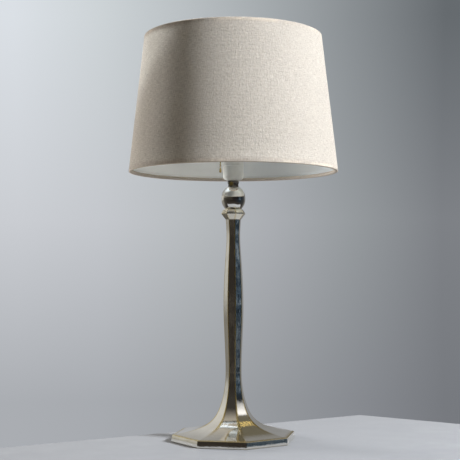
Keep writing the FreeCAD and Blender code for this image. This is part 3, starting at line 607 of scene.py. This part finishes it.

# ---- table ------------------------------------------------------------------------------------------

TABLE = [(0.191, -0.441), (0.671, 0.116), (0.181, 0.353), (-0.560, -0.352), (-0.005, -0.480)]
THICK = 0.03
table_mesh = bpy.data.meshes.new("table")
sides = len(TABLE)
table_mesh.from_pydata([(x, y, 0.0) for x, y in TABLE] + [(x, y, -THICK) for x, y in TABLE], [],
                       [tuple(range(sides)), tuple(range(2 * sides - 1, sides - 1, -1))]
                       + [(k, sides + k, sides + (k + 1) % sides, (k + 1) % sides) for k in range(sides)])
table = bpy.data.objects.new("table", table_mesh)
scene.collection.objects.link(table)
table_mesh.materials.append(speckled("table", (0.226, 0.231, 0.240), (0.218, 0.223, 0.232), 0.55, 9.0, depth=0.0))

# ---- studio -----------------------------------------------------------------------------------------

CENTRE = Vector((0.0, 0.0, 0.35))  # the lights look at the lamp's middle
PICTURE_HALF = 0.2115              # how far sideways the camera's outermost rays run


def soft_light(name, azimuth, elevation, distance, size, power, colour):
    """A soft square light, neither seen nor mirrored, azimuth degrees to the right of the camera from the lamp."""
    data = bpy.data.lights.new(name, "AREA")
    data.shape, data.size, data.energy, data.color = "SQUARE", size, power, colour
    light = bpy.data.objects.new(name, data)
    turn, lift = math.radians(azimuth) + CAMERA_TURN, math.radians(elevation)
    away = Vector((math.sin(turn) * math.cos(lift), -math.cos(turn) * math.cos(lift), math.sin(lift)))
    light.location = CENTRE + away * distance
    light.rotation_euler = away.to_track_quat("Z", "Y").to_euler()
    light.visible_glossy = light.visible_camera = False
    scene.collection.objects.link(light)


soft_light("key", 65, 29, 3.4, 0.7, 365.0, (0.965, 1.0, 1.06))
soft_light("rim", -120, 3, 2.4, 0.6, 104.0, (1.0, 0.985, 0.985))
soft_light("back", 156, 2, 4.0, 1.0, 138.0, (0.96, 1.0, 1.02))


def studio():
    """A room that goes by direction: dim behind the camera, pale behind the lamp, a window and panes at the right.

    The camera itself sees a plain wall, and matt surfaces get an even light.
    """
    scene.world = bpy.data.worlds.new("studio")
    paint = Paint(scene.world)
    way = paint.add("VectorRotate", {"Vector": paint.tree.nodes.new("ShaderNodeTexCoord").outputs["Generated"],
                                     "Angle": -CAMERA_TURN}, rotation_type="Z_AXIS")
    x, y, z = paint.add("SeparateXYZ", {"Vector": way}).node.outputs
    azimuth = paint.range(paint.math("ARCTAN2", x, paint.math("MULTIPLY", y, -1.0)), -math.pi, math.pi)

    def around(*stops):
        """Colours, or greys, at degrees to the right of the camera."""
        return paint.ramp(azimuth, *[((degrees + 180) / 360, colour) for degrees, colour in stops])

    def patch(first, second):
        """Where both masks are."""
        return paint.math("MULTIPLY", first, second)

    level = around((-180, (0.42, 0.43, 0.45)), (-116, (0.60, 0.595, 0.56)), (-104, (0.22, 0.21, 0.19)),
                   (-94, (0.06, 0.055, 0.045)), (-30, (0.034, 0.029, 0.024)), (10, (0.016, 0.013, 0.012)),
                   (52, (0.010, 0.011, 0.014)), (62, (0.022, 0.035, 0.052)), (72, (0.032, 0.050, 0.073)),
                   (82, (0.012, 0.018, 0.028)), (118, (0.06, 0.065, 0.07)), (145, (0.24, 0.245, 0.255)),
                   (172, (0.31, 0.315, 0.325)))
    below = around((-180, (0.30, 0.30, 0.30)), (-116, (0.25, 0.24, 0.215)), (-96, (0.07, 0.065, 0.055)),
                   (-60, (0.03, 0.027, 0.022)), (10, (0.020, 0.016, 0.015)), (66, (0.018, 0.025, 0.036)),
                   (118, (0.05, 0.05, 0.05)), (150, (0.22, 0.22, 0.22)), (180, (0.30, 0.30, 0.30)))
    above = around((-180, (0.27, 0.267, 0.255)), (-166, (0.57, 0.565, 0.55)), (-105, (0.70, 0.69, 0.65)),
                   (-62, (0.14, 0.135, 0.12)), (-25, (0.045, 0.041, 0.036)), (45, (0.035, 0.033, 0.030)),
                   (66, (0.012, 0.014, 0.016)), (90, (0.05, 0.05, 0.05)), (125, (0.13, 0.127, 0.12)),
                   (158, (0.19, 0.187, 0.175)), (178, (0.26, 0.257, 0.245)))
    room = paint.mix(paint.range(z, 0.10, 0.34), level, above)
    room = paint.mix(paint.range(z, 0.50, 0.96), room, (0.45, 0.415, 0.36))
    shadow = patch(around((72, 0.0), (88, 1.0), (172, 1.0), (179, 0.3)),
                   paint.ramp(z, (0.44, 0.0), (0.54, 1.0), (0.95, 1.0), (0.99, 0.3)))
    room = paint.mix(shadow, room, (0.150, 0.136, 0.098))
    strip = patch(around((85, 0.0), (95, 1.0), (160, 1.0), (170, 0.0)),
                  paint.ramp(z, (0.8165, 0.0), (0.8195, 1.0), (0.8235, 1.0), (0.8265, 0.0)))
    room = paint.mix(strip, room, (1.5, 1.1, 0.36))
    room = paint.mix(paint.range(z, 0.02, -0.07), room, below)
    panes = paint.noise(30.0, detail=4.0, roughness=0.7, stretch=(1, 1, 1.3), kind="Generated")
    panel = patch(around((52, 0.0), (58, 1.0), (74, 1.0), (80, 0.0)),
                  patch(paint.range(z, -0.17, -0.11), paint.range(z, 0.20, 0.15)))
    room = paint.mix(panel, room, paint.ramp(panes, (0.44, (0.008, 0.010, 0.014)), (0.50, (0.030, 0.050, 0.076)),
                                             (0.56, (0.080, 0.130, 0.190)), (0.64, (0.34, 0.37, 0.40))))
    smears = paint.noise(48.0, detail=3.0, roughness=0.6, stretch=(1, 1, 0.4), kind="Generated")
    dim = patch(around((-50, 0.0), (-40, 1.0), (-8, 1.0), (0, 0.0)),
                patch(paint.range(z, -0.20, -0.12), paint.range(z, 0.12, 0.0)))
    room = paint.mix(patch(dim, paint.range(smears, 0.56, 0.68)), room, (0.17, 0.15, 0.125))
    room = paint.mix(paint.range(z, -0.3, -0.6), room, (0.045, 0.04, 0.035))
    window = patch(around((50, 0.0), (60, 1.0), (78, 1.0), (88, 0.0)),
                   paint.ramp(z, (0.30, 0.0), (0.35, 0.35), (0.43, 0.8), (0.54, 1.0), (0.60, 0.75), (0.66, 0.0)))
    room = paint.mix(window, room, (1.25, 1.25, 1.27))
    across = paint.range(x, -PICTURE_HALF, PICTURE_HALF)
    top = paint.ramp(across, (0.04, (0.707, 0.745, 0.787)), (0.22, (0.610, 0.651, 0.675)),
                     (0.76, (0.255, 0.276, 0.292)), (0.96, (0.133, 0.147, 0.159)))
    bottom = paint.ramp(across, (0.04, (0.402, 0.418, 0.445)), (0.22, (0.386, 0.402, 0.429)),
                        (0.5, (0.330, 0.345, 0.365)), (0.76, (0.250, 0.262, 0.285)), (0.96, (0.184, 0.194, 0.212)))
    middle = paint.ramp(across, (0.04, (0.591, 0.610, 0.645)), (0.22, (0.552, 0.571, 0.604)),
                        (0.43, (0.468, 0.491, 0.509)), (0.59, (0.402, 0.418, 0.445)), (0.76, (0.310, 0.330, 0.347)),
                        (0.96, (0.209, 0.220, 0.238)))
    wall = paint.mix(paint.range(z, -0.117, 0.05), bottom, middle)
    wall = paint.mix(paint.range(z, 0.05, 0.233), wall, top)
    rays = paint.tree.nodes.new("ShaderNodeLightPath").outputs
    shown = paint.mix(rays["Is Diffuse Ray"], room, (0.25, 0.222, 0.19))
    shown = paint.mix(rays["Is Camera Ray"], shown, wall)
    paint.feed(paint.tree.nodes["Background"], {"Color": shown, "Strength": 1.0})


studio()
